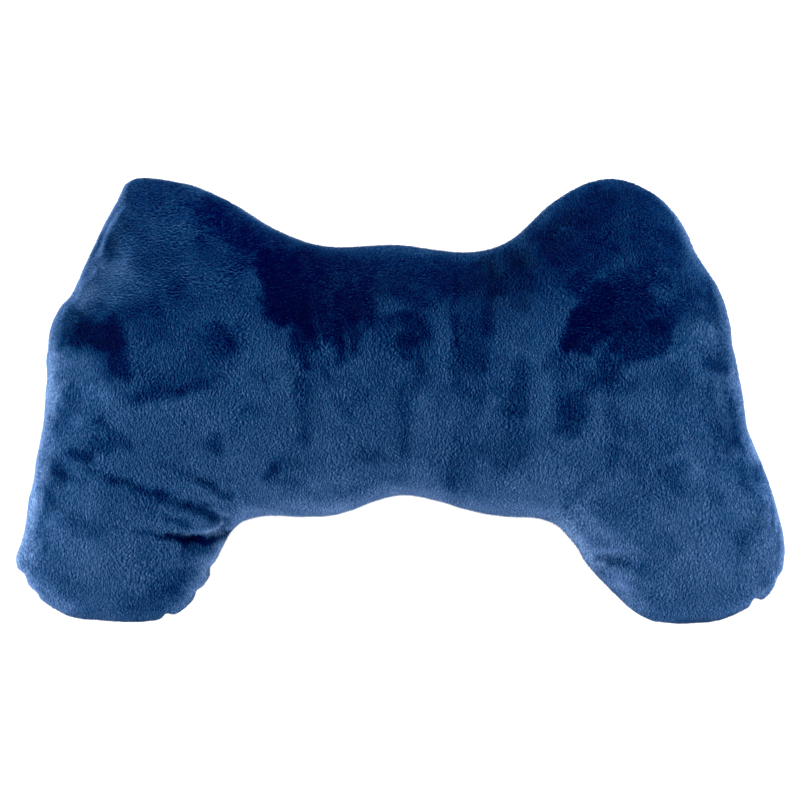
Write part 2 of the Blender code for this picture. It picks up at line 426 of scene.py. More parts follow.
    (146, 102, 152, 84, 6, 7, 0.34, 7),
    (108, 70, 126, 88, 6, 6, 0.42, 5),
    (110, 76, 114, 76, 4, 4, 0.3, 5),
    (130, 75, 152, 78, 3, 4, 0.34, 5),
    (100, 33, 109, 47, 4, 8, 0.74, 2.5),
    (98, 31, 112, 30, 1.6, 3, 0.72, 3),
    (109, 49, 121, 61, 7, 10, 0.66, 3),
    (127, 52, 138, 60, 13, 13, 0.6, 4.5),
    (140, 72, 158, 72, 3, 4, 0.36, 5),
    (139, 35, 150, 37, 12, 12, 0.56, 3.5),
    (152, 46, 158, 50, 8, 8, 0.5, 4),
    (166, 57, 176, 64, 6, 4.5, 0.36, 5),
    (178, 52, 186, 50, 3, 3, 0.26, 4),
    (184, 68, 186, 62, 2.5, 2.5, 0.3, 4),
    (132, 41, 146, 50, 0.8, 1, -0.4, 2),
    (118, 38, 130, 34, 3, 3, 0.36, 4),
    (120, 26, 118, 10, 3, 3, 0.12, 5),
    (126, 4, 138, 8, 3, 4, 0.24, 5),
    (88, 23, 95, 28, 4, 4, 0.34, 4),
    (104, 20, 116, 12, 7, 5, 0.26, 7),
    # right grip
    (130, -10, 180, -30, 20, 20, -0.05, 14),
    (118, -106, 133, -120, 3, 3, 0.36, 4),
    (207, -24, 212, -32, 2.5, 2.5, -0.4, 4),
    (196, -96, 196, -108, 5, 7, -0.12, 8),
    (156, -66, 186, -92, 12, 12, -0.07, 12),
    (108, -76, 134, -104, 8, 8, -0.16, 9),
    (216, -40, 221, -52, 2.5, 2.5, 0.26, 4),
    (206, -80, 207, -92, 4, 4, 0.2, 5),
    (203, -24, 214, -50, 4, 5, -0.2, 6),
    (70, -52, 100, -58, 7, 7, -0.16, 9),
    (136, -98, 142, -100, 4, 4, 0.18, 5),
    (155, -55, 162, -64, 4, 4, 0.16, 6),
    (63, -2, 65, -6, 4, 4, 0.25, 4),
    (96, 16, 101, -8, 6, 5, 0.26, 5),
    (124, -66, 144, -70, 5, 5, 0.1, 8),
    (136, -120, 147, -125, 3, 3, -0.18, 5),
    (116, -104, 127, -117, 3, 3, 0.3, 4),
    (214, -42, 217, -48, 3, 3, 0.3, 4),
    (190, -66, 194, -72, 4, 4, 0.1, 6),
    (185, -52, 190, -58, 3, 4, 0.22, 5),
    (186, -24, 191, -29, 3, 3, 0.18, 5),
    (155, -44, 168, -40, 4, 4, 0.28, 5),
    (142, -18, 152, -33, 5, 5, 0.24, 7),
    (128, -4, 132, -18, 4, 5, 0.26, 6),
    (97, 0, 96, -16, 5, 5, 0.4, 5),
    (113, 12, 111, -14, 3.5, 4, 0.32, 5),
    (107, 4, 103, -20, 4.5, 5.5, 0.44, 5),
    (128, -30, 127, -37, 6, 6, 0.34, 7),
    (138, -30, 148, -58, 4, 4, 0.24, 7),
    (156, -22, 162, -28, 4, 4, 0.2, 6),
    (162, -50, 166, -54, 3, 3, 0.24, 4),
    (118, -44, 98, -62, 3, 4, 0.2, 6),
    (162, 4, 165, 12, 2.5, 2.5, 0.18, 4),
    (190, -16, 196, -26, 4, 4, 0.28, 5),
    (202, -22, 205, -28, 2.5, 2.5, 0.4, 4),
    (206, -40, 210, -54, 4, 4, 0.26, 5),
    (214, -60, 217, -66, 3, 3, 0.2, 4),
    (183, 23, 193, 19, 3.4, 3.4, 0.42, 4),
    (198, 16, 200, 4, 3, 3, -0.3, 4),
    (203, -86, 212, -80, 5, 5, 0.14, 8),
    # painted shadow in the right grip's fold
    (119, -95, 132, -98, 1.6, 2.4, 0.36, 3),
    # painted highlight on the ridge under that fold
    (112, -98, 146, -114, 4, 5, -0.24, 5),
    (158, -80, 164, -90, 3, 4, 0.18, 6),
    (142, -112, 148, -118, 4, 4, 0.2, 6),
    (178, 38, 184, 32, 4, 4, -0.15, 6),
    (160, 29, 163, 27, 3, 3, -0.35, 4),
    (176, 26, 182, 14, 6, 6, -0.26, 6),
    (198, 4, 201, -22, 2.5, 2.5, 0.3, 4),
    (168, -36, 176, -44, 5, 5, -0.18, 6),
    (186, -62, 214, -60, 9, 9, -0.16, 10),
    (211, -84, 213, -110, 5, 7, -0.2, 7),
    (172, -96, 178, -110, 6, 6, -0.15, 8),
    # painted highlight along the grip's right rim
    (220, -70, 222, -102, 4, 4.5, -0.25, 5),
    (106, -68, 140, -92, 4, 5, -0.24, 6),
    (98, -74, 112, -92, 3.5, 3, -0.4, 5),
)


# ------------------------------------------------------------------ the form
def smooth_table(table, station):
    """x and y at each station: a cubic between rows, each row's slope from its neighbours."""
    rows = np.array(table)
    at, points = rows[:, 0], rows[:, 1:] * MM
    slope = np.gradient(points, at, axis=0)
    row = np.clip(np.searchsorted(at, station, side="right") - 1, 0, len(at) - 2)
    span = (at[row + 1] - at[row])[:, None]
    t = (station - at[row])[:, None] / span
    return (
        points[row] * (1 + 2 * t) * (1 - t) ** 2
        + slope[row] * span * t * (1 - t) ** 2
        + points[row + 1] * t**2 * (3 - 2 * t)
        - slope[row + 1] * span * t**2 * (1 - t)
    )


def plan_points(station, across):
    """plan(u, v) = outer(u) + (inner(u) - outer(u)) v, less a bow near a grip's end.

    The bow goes as 1 - |2v - 1|^3 across the grip.
    """
    outer = smooth_table(OUTER_SEAM, station)[:, None]
    inner = smooth_table(INNER_SEAM, station)[:, None]
    plan = outer + (inner - outer) * across[None, :, None]
    from_end = np.minimum(station, 100.0 - station) / GRIP_STATIONS
    fade = (1.0 - np.minimum(from_end, 1.0)) ** 2
    bow = 1.0 - np.abs(2.0 * across - 1.0) ** 3
    plan[:, :, 1] -= GRIP_BOW * MM * fade[:, None] * bow
    return plan


def seam_loop(parts):
    """The whole seam as one closed loop of points: outer seam, right grip, inner seam, left grip."""
    fine = np.linspace(0.0, 1.0, parts)
    ends = np.array([0.0, 1.0])
    sides = plan_points(100.0 * fine, ends)
    grips = plan_points(100.0 * ends, fine[:: max(parts // 60, 1)])
    return np.vstack([sides[:-1, 0], grips[1, :-1], sides[:0:-1, 1], grips[0, :0:-1]])


def depth_inside(points, loop):
    """Depth inside the seam: (2 / sum of length / distance^3)^(1/2).

    Beside a straight seam that is the distance itself.
    """
    after = np.roll(loop, -1, axis=0)
    length = np.linalg.norm(after - loop, axis=1)
    middle = (loop + after) / 2
    away = np.linalg.norm(points[:, None] - middle[None], axis=2) + 1e-6
    return (2.0 / (length / away**3).sum(1)) ** 0.5


def flattened(reach, limit, ease):
    """reach, eased into limit by a parabola from limit - ease to limit + ease, and flat past that."""
    over = np.clip(reach - (limit - ease), 0.0, 2 * ease)
    return np.minimum(reach, limit - ease) + over - over**2 / (4 * ease)


def new_mesh(name, points, faces):
    """A smooth mesh object from an array of points and one of triangles or quads."""
    mesh = bpy.data.meshes.new(name)
    corners = faces.shape[1]
    mesh.vertices.add(len(points))
    mesh.vertices.foreach_set("co", np.ascontiguousarray(points, np.float32).ravel())
    mesh.loops.add(faces.size)
    mesh.loops.foreach_set("vertex_index", np.ascontiguousarray(faces, np.int32).ravel())
    mesh.polygons.add(len(faces))
    mesh.polygons.foreach_set("loop_start", np.arange(0, faces.size, corners, dtype=np.int32))
    mesh.update(calc_edges=True)
    mesh.shade_smooth()
    piece = bpy.data.objects.new(name, mesh)
    bpy.context.scene.collection.objects.link(piece)
    return piece


def quads(index):
    """Faces of a grid of point numbers, facing up."""
    corners = [index[:-1, :-1], index[:-1, 1:], index[1:, 1:], index[1:, :-1]]
    return np.stack(corners, axis=-1).reshape(-1, 4)


def filled_form(stations, steps):
    """The filled form: in front, its height is seam + crown (1 - e^(-depth / reach))^power.

    Behind it is the same turned over, and flattened by the surface.
    """
    even = np.linspace(0.0, 1.0, stations + 1)
    crowded = 0.35  # 0 spaces the stations evenly, 1 crowds them at the grips' ends
    station = 100.0 * ((1.0 - crowded) * even + crowded * 0.5 * (1.0 - np.cos(np.pi * even)))
    across = 0.5 * (1.0 - np.cos(np.linspace(0.0, np.pi, steps + 1)))
    plan = plan_points(station, across)
    deep = depth_inside(plan.reshape(-1, 2), seam_loop(200)).reshape(plan.shape[:2])
    crown = (1.0 - np.exp(-deep / (CROWN_REACH * MM))) ** CROWN_POWER
    rim = np.ones(plan.shape[:2], bool)
    rim[1:-1, 1:-1] = False
    crown[rim] = 0.0
    front = (SEAM_HEIGHT + FRONT_CROWN * crown) * MM
    back = SEAM_HEIGHT * MM - flattened(BACK_CROWN * MM * crown, SEAM_HEIGHT * MM, BACK_EASE * MM)
    front_index = np.arange(rim.size).reshape(rim.shape)
    back_index = front_index.copy()
    back_index[~rim] = rim.size + np.arange(np.count_nonzero(~rim))
    points = np.vstack([np.dstack([plan, front]).reshape(-1, 3), np.dstack([plan, back])[~rim]])
    faces = np.vstack([quads(front_index), quads(back_index)[:, ::-1]])
    return new_mesh("cushion_cloth", points, faces)


def points_of(mesh):
    """A mesh's points as an array."""
    points = np.empty(len(mesh.vertices) * 3, np.float32)
    mesh.vertices.foreach_get("co", points)
    return points.reshape(-1, 3).astype(float)


def normals_of(mesh):
    """A mesh's point normals as an array."""
    normals = np.empty(len(mesh.vertices) * 3, np.float32)
    mesh.vertex_normals.foreach_get("vector", normals)
    return normals.reshape(-1, 3).astype(float)


def set_points(mesh, points):
    """Moves a mesh's points."""
    mesh.vertices.foreach_set("co", points.astype(np.float32).ravel())
    mesh.update()


def apply_modifiers(piece):
    """Replaces the piece's mesh by its evaluated one, and clears the modifiers."""
    graph = bpy.context.evaluated_depsgraph_get()
    mesh = bpy.data.meshes.new_from_object(piece.evaluated_get(graph), depsgraph=graph)
    old = piece.data
    piece.modifiers.clear()
    piece.data = mesh
    mesh.name = piece.name
    bpy.data.meshes.remove(old)


def from_seam(points):
    """Each point's distance from the seam in space, and how far round the seam it lies in metres."""
    loop = seam_loop(500)
    loop = loop[np.linalg.norm(loop - np.roll(loop, 1, axis=0), axis=1) > 1e-7]
    step = np.linalg.norm(loop - np.roll(loop, 1, axis=0), axis=1)
    round_it = np.cumsum(step)
    distance = np.empty(len(points))
    nearest = np.empty(len(points), int)
    batch = 20000
    for start in range(0, len(points), batch):
        part = points[start : start + batch]
        square = ((part[:, None, :2] - loop[None]) ** 2).sum(2)
        nearest[start : start + batch] = square.argmin(1)
        distance[start : start + batch] = square.min(1)
    distance = np.sqrt(distance + (points[:, 2] - SEAM_HEIGHT * MM) ** 2)
    return distance, round_it[nearest]


# ------------------------------------------------------------------ noise
def lattice(whole, seed):
    """A number from 0 to 1 for each whole-numbered point, mixed from its coordinates and the seed."""
    x, y, z = (whole[:, i].astype(np.int64).astype(np.uint64) for i in range(3))
    mixed = x * np.uint64(73856093) ^ y * np.uint64(19349663) ^ z * np.uint64(83492791)
    mixed ^= np.uint64(seed * 2654435761 % 2**32)
    mixed = (mixed ^ (mixed >> np.uint64(13))) * np.uint64(1274126177)
    mixed ^= mixed >> np.uint64(16)
    return (mixed & np.uint64(0xFFFFFF)).astype(float) / 0xFFFFFF


def soft_noise(points, size, seed):
    """Value noise from -1 to 1: the lattice's numbers, blended by smooth steps over its cells.

    The size is that of a cell, in millimetres.
    """
    scaled = points / (size * MM)
    floor = np.floor(scaled)
    t = scaled - floor
    t = t * t * (3 - 2 * t)
    total = np.zeros(len(points))
    for corner in np.ndindex(2, 2, 2):
        share = np.prod(np.where(corner, t, 1 - t), axis=1)
        total += share * lattice(floor + np.array(corner), seed)
    return 2.0 * total - 1.0


# ------------------------------------------------------------------ shaping the cloth
def swell(piece, cap):
    """Cloth simulation with pressure, held at the seam: each point's move m becomes cap tanh(m / cap).

    Moves into the form are mostly taken back first.
    """
    remesh = piece.modifiers.new("net", "REMESH")
    remesh.mode = "VOXEL"
    remesh.voxel_size = NET_SIZE * MM
    apply_modifiers(piece)
    before = points_of(piece.data)
    held = piece.vertex_groups.new(name="held")
    hold = np.round(np.clip(2.0 - from_seam(before)[0] / (HELD_WIDTH * MM), 0.0, 1.0), 1)
    for level in np.unique(hold[hold > 0]):
        held.add(np.flatnonzero(hold == level).tolist(), float(level), "REPLACE")
    cloth = piece.modifiers.new("cloth", "CLOTH")
    settings = cloth.settings
    settings.quality = 6
    settings.mass = 0.25
    settings.tension_stiffness = settings.compression_stiffness = 12
    settings.bending_stiffness = 0.4
    settings.use_pressure = True
    settings.uniform_pressure_force = 4.0
    settings.shrink_min = -0.012
    settings.vertex_group_mass = "held"
    settings.effector_weights.gravity = 0.0
    cloth.collision_settings.use_collision = False
    steps = 20
    cloth.point_cache.frame_end = steps
    scene = bpy.context.scene
    for number in range(1, steps + 1):
        scene.frame_set(number)
    apply_modifiers(piece)
    scene.frame_set(1)
    moved = points_of(piece.data) - before
    normals = normals_of(piece.data)
    outward = (moved * normals).sum(1, keepdims=True)
    moved -= 0.85 * np.minimum(outward, 0.0) * normals
    length = np.linalg.norm(moved, axis=1, keepdims=True) + 1e-9
    set_points(piece.data, before + moved / length * cap * np.tanh(length / cap))
    piece.vertex_groups.clear()


def on_pattern(points):
    """Places on the flat pattern, in metres: x and y (1 + take-up times height above the seam)."""
    return points[:, :2] * (1.0 + DOME_TAKE_UP * (points[:, 2:] - SEAM_HEIGHT * MM))


def fold_depth(points):
    """Sum of the folds at each point of the front: a bell across a fold's line, a smooth step along it."""
    total = np.zeros(len(points))
    wave = soft_noise(points, 14.0, 3) * 1.5 * MM  # makes the folds' lines wander
    for x0, y0, x1, y1, depth, half_width in FRONT_FOLDS:
        start = np.array((x0, y0)) * MM
        line = np.array((x1, y1)) * MM - start
        side = np.array((-line[1], line[0])) / np.linalg.norm(line)
        plan = on_pattern(points) + wave[:, None] * side - start
        along = np.clip(plan @ line / (line @ line), 0.0, 1.0)
        aside = np.linalg.norm(plan - along[:, None] * line, axis=1)
        grown = along**2 * (3 - 2 * along)
        total += depth * MM * grown * np.exp(-((aside / (half_width * MM)) ** 2))
    return total


def press_folds(piece):
    """Folds, the seam's valley, its puckers and tucks and the filling's own lumps, along the normal."""
    points = points_of(piece.data)
    normals = normals_of(piece.data)
    distance, round_it = from_seam(points)
    lift = points[:, 2] / MM - SEAM_HEIGHT
    inward = fold_depth(points) * np.clip(lift / 12.0, 0.0, 1.0)
    inward += VALLEY_DEPTH * MM * np.exp(-((distance / (VALLEY_WIDTH * MM)) ** 2))
    beat = np.zeros(len(points))
    for size, strength, seed in ((9.0, 0.55, 11), (17.0, 0.7, 12)):
        where = np.stack([round_it, np.zeros(len(points)), np.zeros(len(points))], 1)
        beat += strength * soft_noise(where, size, seed)
    # The puckers are strong at the ends, and slight in the middle and at the horns.
    taut = np.clip(6.0 * np.abs(points[:, 0]), 0.3, 1.2)
    taut *= np.clip((95.0 - points[:, 1] / MM) / 40.0, 0.2, 1.0)
    inward += PUCKER_DEPTH * MM * beat * taut * np.exp(-((distance / (PUCKER_REACH * MM)) ** 2))
    for x, y, depth, half_width in SEAM_TUCKS:
        away = np.linalg.norm(points[:, :2] - np.array((x, y)) * MM, axis=1)
        near = (away / (half_width * MM)) ** 2 + (lift / TUCK_RISE) ** 2
        inward += depth * MM * np.exp(-near)
    inward += BIG_LUMPS * MM * soft_noise(points, 45.0, 21)
    inward += SMALL_LUMPS * MM * soft_noise(points, 18.0, 22)
    inward += PILE_DEPTH * MM
    points -= normals * inward[:, None]
    points[:, 2] = np.maximum(points[:, 2], BED * MM)
    set_points(piece.data, points)


# ------------------------------------------------------------------ nap and pile
def smooth_step(t):
    """t^2 (3 - 2 t), with t held between 0 and 1."""
    t = np.clip(t, 0.0, 1.0)
    return t * t * (3 - 2 * t)


def painted_rim_sheen(points, normals):
    """Painted sheen: how much brighter the nap's colour is made where the side is steep, 0 to about 2.

    It is light painted into the colour, for the rim catching the light where the pile fans out.
    It fades below the seam and at the grips' ends, and toward the seam the cloth counts as
    steeper than it is, so that its bulge there is bright too.
    """
    x, y = points[:, 0] / MM, points[:, 1] / MM
    lift = points[:, 2] / MM - SEAM_HEIGHT
    facing = np.clip(normals[:, 0] * np.sign(x), 0.0, 1.0)  # 1 at the two ends
    upward = np.clip(normals[:, 1], 0.0, 1.0) ** 1.4  # 1 along the top edge
    steeper = np.exp(-((lift / 15.0) ** 2))
    steeper *= 0.42 + 0.34 * np.clip(normals[:, 1], -1.0, 0.0)
    level = np.abs(normals[:, 2]) * (1.0 - steeper)
    painted_sheen = np.clip((0.62 - 0.24 * upward - level) / 0.5, 0.0, 1.0)
    painted_sheen = painted_sheen ** (1.0 + upward) * (1.0 + 0.7 * facing + 0.7 * upward)
    painted_sheen *= np.clip(lift / 20.0 + 0.5, 0.0, 1.0)
    painted_sheen *= np.clip((y + 131.0) / 14.0, 0.0, 1.0)
    # The right end gets less of the painted sheen, to suit the light there.
    return painted_sheen * np.where(x < 0.0, 1.0, 0.8)


def nap_and_painted_light(points, normals):
    """How bright the nap lies, with light and shade painted in, 0 to 1.9.

    It is a ramp over the front, scaled by each brushed stroke, on points shifted by noise; some
    strokes are painted shadow in creases and folds, and painted highlights on folds and rims.
    Behind it is the same ramp with blots. Steep sides get a painted sheen, the seam a painted shade.
    """
    shift = np.stack(
        [
            1.5 * soft_noise(points, 24.0, 31) + 2.0 * soft_noise(points, 6.0, 32),
            1.5 * soft_noise(points, 24.0, 33) + 2.0 * soft_noise(points, 6.0, 34),
        ],
        1,
    )
    plan = on_pattern(points) / MM + shift
    lift = points[:, 2] / MM - SEAM_HEIGHT
    nap = 0.84 - 0.27 * smooth_step((plan[:, 1] + 80.0) / 170.0)  # less bright up the cushion
    nap += 0.06 * soft_noise(points, 34.0, 35) + 0.08 * soft_noise(points, 12.0, 36)
    front = nap.copy()
    # Ragged rims of the strokes.
    ragged = 0.22 * soft_noise(points, 3.0, 38) + 0.16 * soft_noise(points, 9.0, 39)
    for x0, y0, x1, y1, wide0, wide1, depth, soft in BRUSHED_AND_PAINTED_LIGHT:
        start = np.array((x0, y0))
        line = np.array((x1, y1)) - start
        along = np.clip((plan - start) @ line / (line @ line), 0.0, 1.0)
        aside = np.linalg.norm(plan - start - along[:, None] * line, axis=1)
        inside = (wide0 + (wide1 - wide0) * along - aside) / (1.3 * soft)
        front *= 1.0 - depth * smooth_step(inside + 0.5 + ragged)
    blots = np.clip(0.5 + 1.6 * soft_noise(points, 38.0, 37), 0.0, 1.0)
    back = nap * (0.45 + 0.55 * blots)
    share = np.clip(lift / 8.0 + 1.0, 0.0, 1.0)  # of the front's brushing, up from below the seam
    painted_sheen = painted_rim_sheen(points, normals)
    # The horns get a quarter more painted sheen, to suit the light there.
    on_horn = np.clip((plan[:, 1] - 60.0) / 30.0, 0.0, 1.0)
    on_horn *= np.clip(np.abs(plan[:, 0]) / 40.0 - 1.0, 0.0, 1.0)
    painted_sheen *= 1.0 + 0.25 * on_horn
    painted_seam_shade = 0.25 * np.exp(-((lift / 1.5) ** 2))  # painted shade in the seam's groove
    return np.clip((back + (front - back) * share + painted_sheen) * (1.0 - painted_seam_shade), 0.0, 1.9)


def drawn_noise(points, heading, size, length, seed):
    """Relief drawn out along the heading, about -1 to 1.

    Along each of four fixed headings a noise is stretched by the length, and its values half a
    size to either side are taken from each other. The four are blended by how near each is to
    the heading.
    """
    total = np.zeros(len(points))
    square = np.zeros(len(points))
    for turn in (0.0, 45.0, 90.0, 135.0):
        along = np.array([np.cos(np.radians(turn)), np.sin(np.radians(turn)), 0.0])
        side = np.array([-along[1], along[0], 0.0]) * 0.5 * size * MM
        share = np.clip(1.0 - np.abs((heading - turn + 90.0) % 180.0 - 90.0) / 45.0, 0.0, 1.0)
        here = share > 0
        short = points[here] - (points[here] @ along)[:, None] * along * (1.0 - 1.0 / length)
        relief = soft_noise(short + side, size, seed) - soft_noise(short - side, size, seed)
        total[here] += share[here] * relief
        square += share**2
    return total / np.sqrt(square)


def add_numbers(mesh, name, values):
    """A float attribute on the mesh's points."""
    attribute = mesh.attributes.new(name, "FLOAT", "POINT")
    attribute.data.foreach_set("value", np.ascontiguousarray(values, np.float32))


def brushed_heading(points):
    """Which way the pile lies, in degrees.

    It lies down the cushion, and turns across it at the left horn and along the top edge.
    """
    x, y = points[:, 0] / MM, points[:, 1] / MM
    left = np.clip((-x - 70.0) / 70.0, 0.0, 1.0) * np.clip((y - 5.0) / 60.0, 0.0, 1.0)
    top = np.clip((80.0 - x) / 60.0, 0.4, 1.0) * np.clip((y - 35.0) / 40.0, 0.0, 1.0)
    heading = -90.0 + 45.0 * top + 40.0 * left + 25.0 * soft_noise(points, 60.0, 41)
    return heading + 25.0 * soft_noise(points, 14.0, 42) + 20.0 * soft_noise(points, 5.0, 43)


def heading_vectors(heading, normal):
    """Unit vectors along the cloth for headings in degrees, 0 along +X and 90 along +Y."""
    turned = np.radians(heading)
    lean = np.stack([np.cos(turned), np.sin(turned), np.zeros(len(heading))], 1)
    lean -= normal * (lean * normal).sum(1, keepdims=True)
    return lean / (np.linalg.norm(lean, axis=1, keepdims=True) + 1e-6)


def along_rim(lean, normal):
    """The leaning turned level round the cushion where its side is steep."""
    level = np.stack([-normal[:, 1], normal[:, 0], np.zeros(len(normal))], 1)
    level /= np.linalg.norm(level, axis=1, keepdims=True) + 1e-6
    level *= np.where((level * lean).sum(1) < 0.0, -1.0, 1.0)[:, None]
    share = np.clip((0.7 - np.abs(normal[:, 2])) / 0.3, 0.0, 1.0)[:, None]
    turned = lean * (1.0 - share) + level * share
    return turned / np.linalg.norm(turned, axis=1, keepdims=True)


def blade_map(mesh, count):
    """The bake's own map of a pile: a square of cells, two blades in each, set in from its sides."""
    blade = np.arange(count)
    cell, second = blade // 2, (blade % 2).astype(float)[:, None, None]
    across = int(np.ceil(np.sqrt(np.ceil(count / 2))))
    inside = np.array([[0.08, 0.08], [0.8, 0.08], [0.08, 0.80]])
    spot = inside * (1.0 - second) + (1.0 - inside) * second
    place = np.stack([cell % across, cell // across], 1)[:, None, :]
    add_map(mesh, (place + spot) / across)


def cloth_map(mesh):
    """The bake's own map of the cloth: its plan from the front over its plan from behind.

    The normals draw the steep sides out, so that they get their share of the map.
    """
    points, normals = points_of(mesh), normals_of(mesh)
    corner = np.empty(len(mesh.loops), np.int32)
    mesh.loops.foreach_get("vertex_index", corner)
    face_loops = np.empty(len(mesh.polygons), np.int32)
    mesh.polygons.foreach_get("loop_total", face_loops)
    middle = np.empty(len(mesh.polygons) * 3, np.float32)
    mesh.polygons.foreach_get("center", middle)
    above = np.repeat(middle.reshape(-1, 3)[:, 2] > SEAM_HEIGHT * MM, face_loops)
    side_reach, map_width, map_height = 0.035, 0.56, 0.37
    plan = points[corner, :2] + side_reach * normals[corner, :2]
    across = plan[:, 0] / map_width + 0.5
    up = (plan[:, 1] / map_height + 0.5) * 0.5 + 0.5 * above
    add_map(mesh, np.stack([across, up], 1))


def add_map(mesh, places):
    """Adds the map OFBake, with a place for each corner."""
    mesh.uv_layers.new(name="OFBake").data.foreach_set("uv", places.astype(np.float32).ravel())


def strip_share(middle, normal, strip, strips, front):
    """Share of its area that a face offers for tufts.

    It is none outside its strip of the plan or on the other panel, and less where it faces down.
    """
    edges = np.linspace(-PILE_REACH, PILE_REACH, strips + 1) * MM
    here = (middle[:, 0] >= edges[strip]) & (middle[:, 0] < edges[strip + 1])
    above = middle[:, 2] > SEAM_HEIGHT * MM
    hidden = np.clip((-normal[:, 2] - 0.3) / 0.6, 0.0, 1.0)
    return here * (above == front) * (1.0 - 0.8 * hidden)


def tufts(cloth, name, count, share, seed):
    """Leaning tufts, shared over the faces: each is a blade from right root and left root to the tip.

    share(middle, normal) says how much of each face's area offers itself.
    """
    rng = np.random.default_rng(seed)
    mesh = cloth.data
    mesh.calc_loop_triangles()
    corner = np.empty(len(mesh.loop_triangles) * 3, np.int32)
    mesh.loop_triangles.foreach_get("vertices", corner)
    corner = corner.reshape(-1, 3)
    points, normals = points_of(mesh), normals_of(mesh)
    p0, p1, p2 = (points[corner[:, i]] for i in range(3))
    area = np.linalg.norm(np.cross(p1 - p0, p2 - p0), axis=1) / 2
    area *= share((p0 + p1 + p2) / 3, normals[corner].mean(1))
    drawn = (np.arange(count) + rng.random(count)) / count
    pick = np.searchsorted(np.cumsum(area), drawn * area.sum())
    pick = np.minimum(pick, len(corner) - 1)
    a, b = rng.random(count), rng.random(count)
    flip = a + b > 1
    a[flip], b[flip] = 1 - a[flip], 1 - b[flip]
    weight = np.stack([1 - a - b, a, b], 1)[:, :, None]
    root = (points[corner[pick]] * weight).sum(1)
    normal = (normals[corner[pick]] * weight).sum(1)
    normal /= np.linalg.norm(normal, axis=1, keepdims=True)
    nap = nap_and_painted_light(root + rng.normal(0.0, 0.7 * MM, (count, 3)), normal)
    heading = brushed_heading(root)
    heading += 150.0 * np.clip(0.5 - nap, 0.0, 0.5)  # deep nap is brushed round
    streak = drawn_noise(root, heading, STREAK_SIZE, STREAK_LENGTH, 61)
    lean = along_rim(heading_vectors(heading + rng.normal(0.0, 22.0, count), normal), normal)
    fringe = np.clip((0.5 - np.abs(normal[:, 2])) / 0.4, 0.0, 1.0)
    side = np.cross(normal, lean)
    roll = np.radians(rng.normal(0.0, 16.0, count))
    across = side * np.cos(roll)[:, None] + normal * np.sin(roll)[:, None]
    root += normal * (0.2 * MM * streak)[:, None]
    # Off the cloth, in degrees: more where the nap is deep, on a streak and at the rim.
    rise = 28.0 + 14.0 * rng.random(count) + 10.0 * np.clip(1 - nap, 0, 1)
    rise = np.radians(rise + (6.0 + 12.0 * fringe) * streak)
    rise += np.radians(14.0 * fringe)
    long = (BLADE_LENGTH + LENGTH_SPREAD * rng.random(count)) * MM
    wide = (BLADE_WIDTH + WIDTH_SPREAD * rng.random(count)) * MM
    tip = root + lean * (long * np.cos(rise))[:, None] + normal * (long * np.sin(rise))[:, None]
    sunk = root - normal * 0.1 * MM
    left = sunk - across * (wide / 2)[:, None]
    right = sunk + across * (wide / 2)[:, None]
    corners = np.stack([right, left, tip], 1).reshape(-1, 3)
    corners[:, 2] = np.maximum(corners[:, 2], 0.1 * MM)  # above the surface
    faces = np.arange(3 * count).reshape(-1, 3)
    piece = new_mesh(name, corners, faces)
    add_numbers(piece.data, "nap", np.repeat(nap, 3))
    # The tuft's tone varies at random, and with its streak as a painted light and shade of the streaks'
    # relief.
    tuft = 0.5 + 0.3 * streak + rng.normal(0.0, 0.12, count)
    add_numbers(piece.data, "tuft", np.repeat(tuft, 3))
    # 0 at the roots and 1 at the tip, for the painted shade toward the root.
    add_numbers(piece.data, "reach", np.tile([0.0, 0.0, 1.0], count))
    add_numbers(piece.data, "turned", np.repeat(np.cos(np.radians(heading)) ** 2, 3))
    blade_map(piece.data, count)
    return piece


# ------------------------------------------------------------------ materials
# Blues of the pile, from the nap lying away to the nap lying toward the light. Past 1 they
# serve mostly the painted sheen on the rims and the painted highlights.
BRIGHTEST = 2.4
BLUES = (
    # nap, colour
    (0.0, (0.0002, 0.0004, 0.015)),
    (0.25, (0.0003, 0.0013, 0.0275)),
    (0.5, (0.0006, 0.014, 0.06)),
    (0.75, (0.0045, 0.03, 0.088)),
    (1.0, (0.0175, 0.052, 0.129)),
    (1.4, (0.045, 0.096, 0.215)),
    (1.8, (0.085, 0.16, 0.32)),
    (2.4, (0.2, 0.33, 0.55)),
)


def node_group(name, inputs, outputs):
    """An empty shader group with named sockets: (name, kind, default)."""
    group = bpy.data.node_groups.new(name, "ShaderNodeTree")
    for label, kind, value in inputs:
        socket = group.interface.new_socket(label, in_out="INPUT", socket_type=kind)
        socket.default_value = value
    for label, kind in outputs:
        group.interface.new_socket(label, in_out="OUTPUT", socket_type=kind)
    start = group.nodes.new("NodeGroupInput")
    end = group.nodes.new("NodeGroupOutput")
    return group, start, end


def math_node(tree, operation, first, second):
    """A Math node on two sockets or numbers."""
    node = tree.nodes.new("ShaderNodeMath")
    node.operation = operation
    for place, value in enumerate((first, second)):
        if isinstance(value, (int, float)):
            node.inputs[place].default_value = value
        else:
            tree.links.new(value, node.inputs[place])
    return node.outputs[0]


def stepped_noise(group, place, scale, step, drawn):
    """A fine noise less itself a step aside, drawn out across the step."""
    sides = []
    for way in (-1, 1):
        drawn_out = group.nodes.new("ShaderNodeMapping")
        drawn_out.inputs["Location"].default_value = [way * GRAIN_STEP * MM * x for x in step]
        drawn_out.inputs["Scale"].default_value = drawn
        noise = group.nodes.new("ShaderNodeTexNoise")
        noise.inputs["Detail"].default_value = 1.0
        noise.inputs["Roughness"].default_value = 0.6
        group.links.new(place, drawn_out.inputs["Vector"])
        group.links.new(drawn_out.outputs["Vector"], noise.inputs["Vector"])
        group.links.new(scale, noise.inputs["Scale"])
        sides.append(noise.outputs["Fac"])
    return math_node(group, "SUBTRACT", sides[0], sides[1])


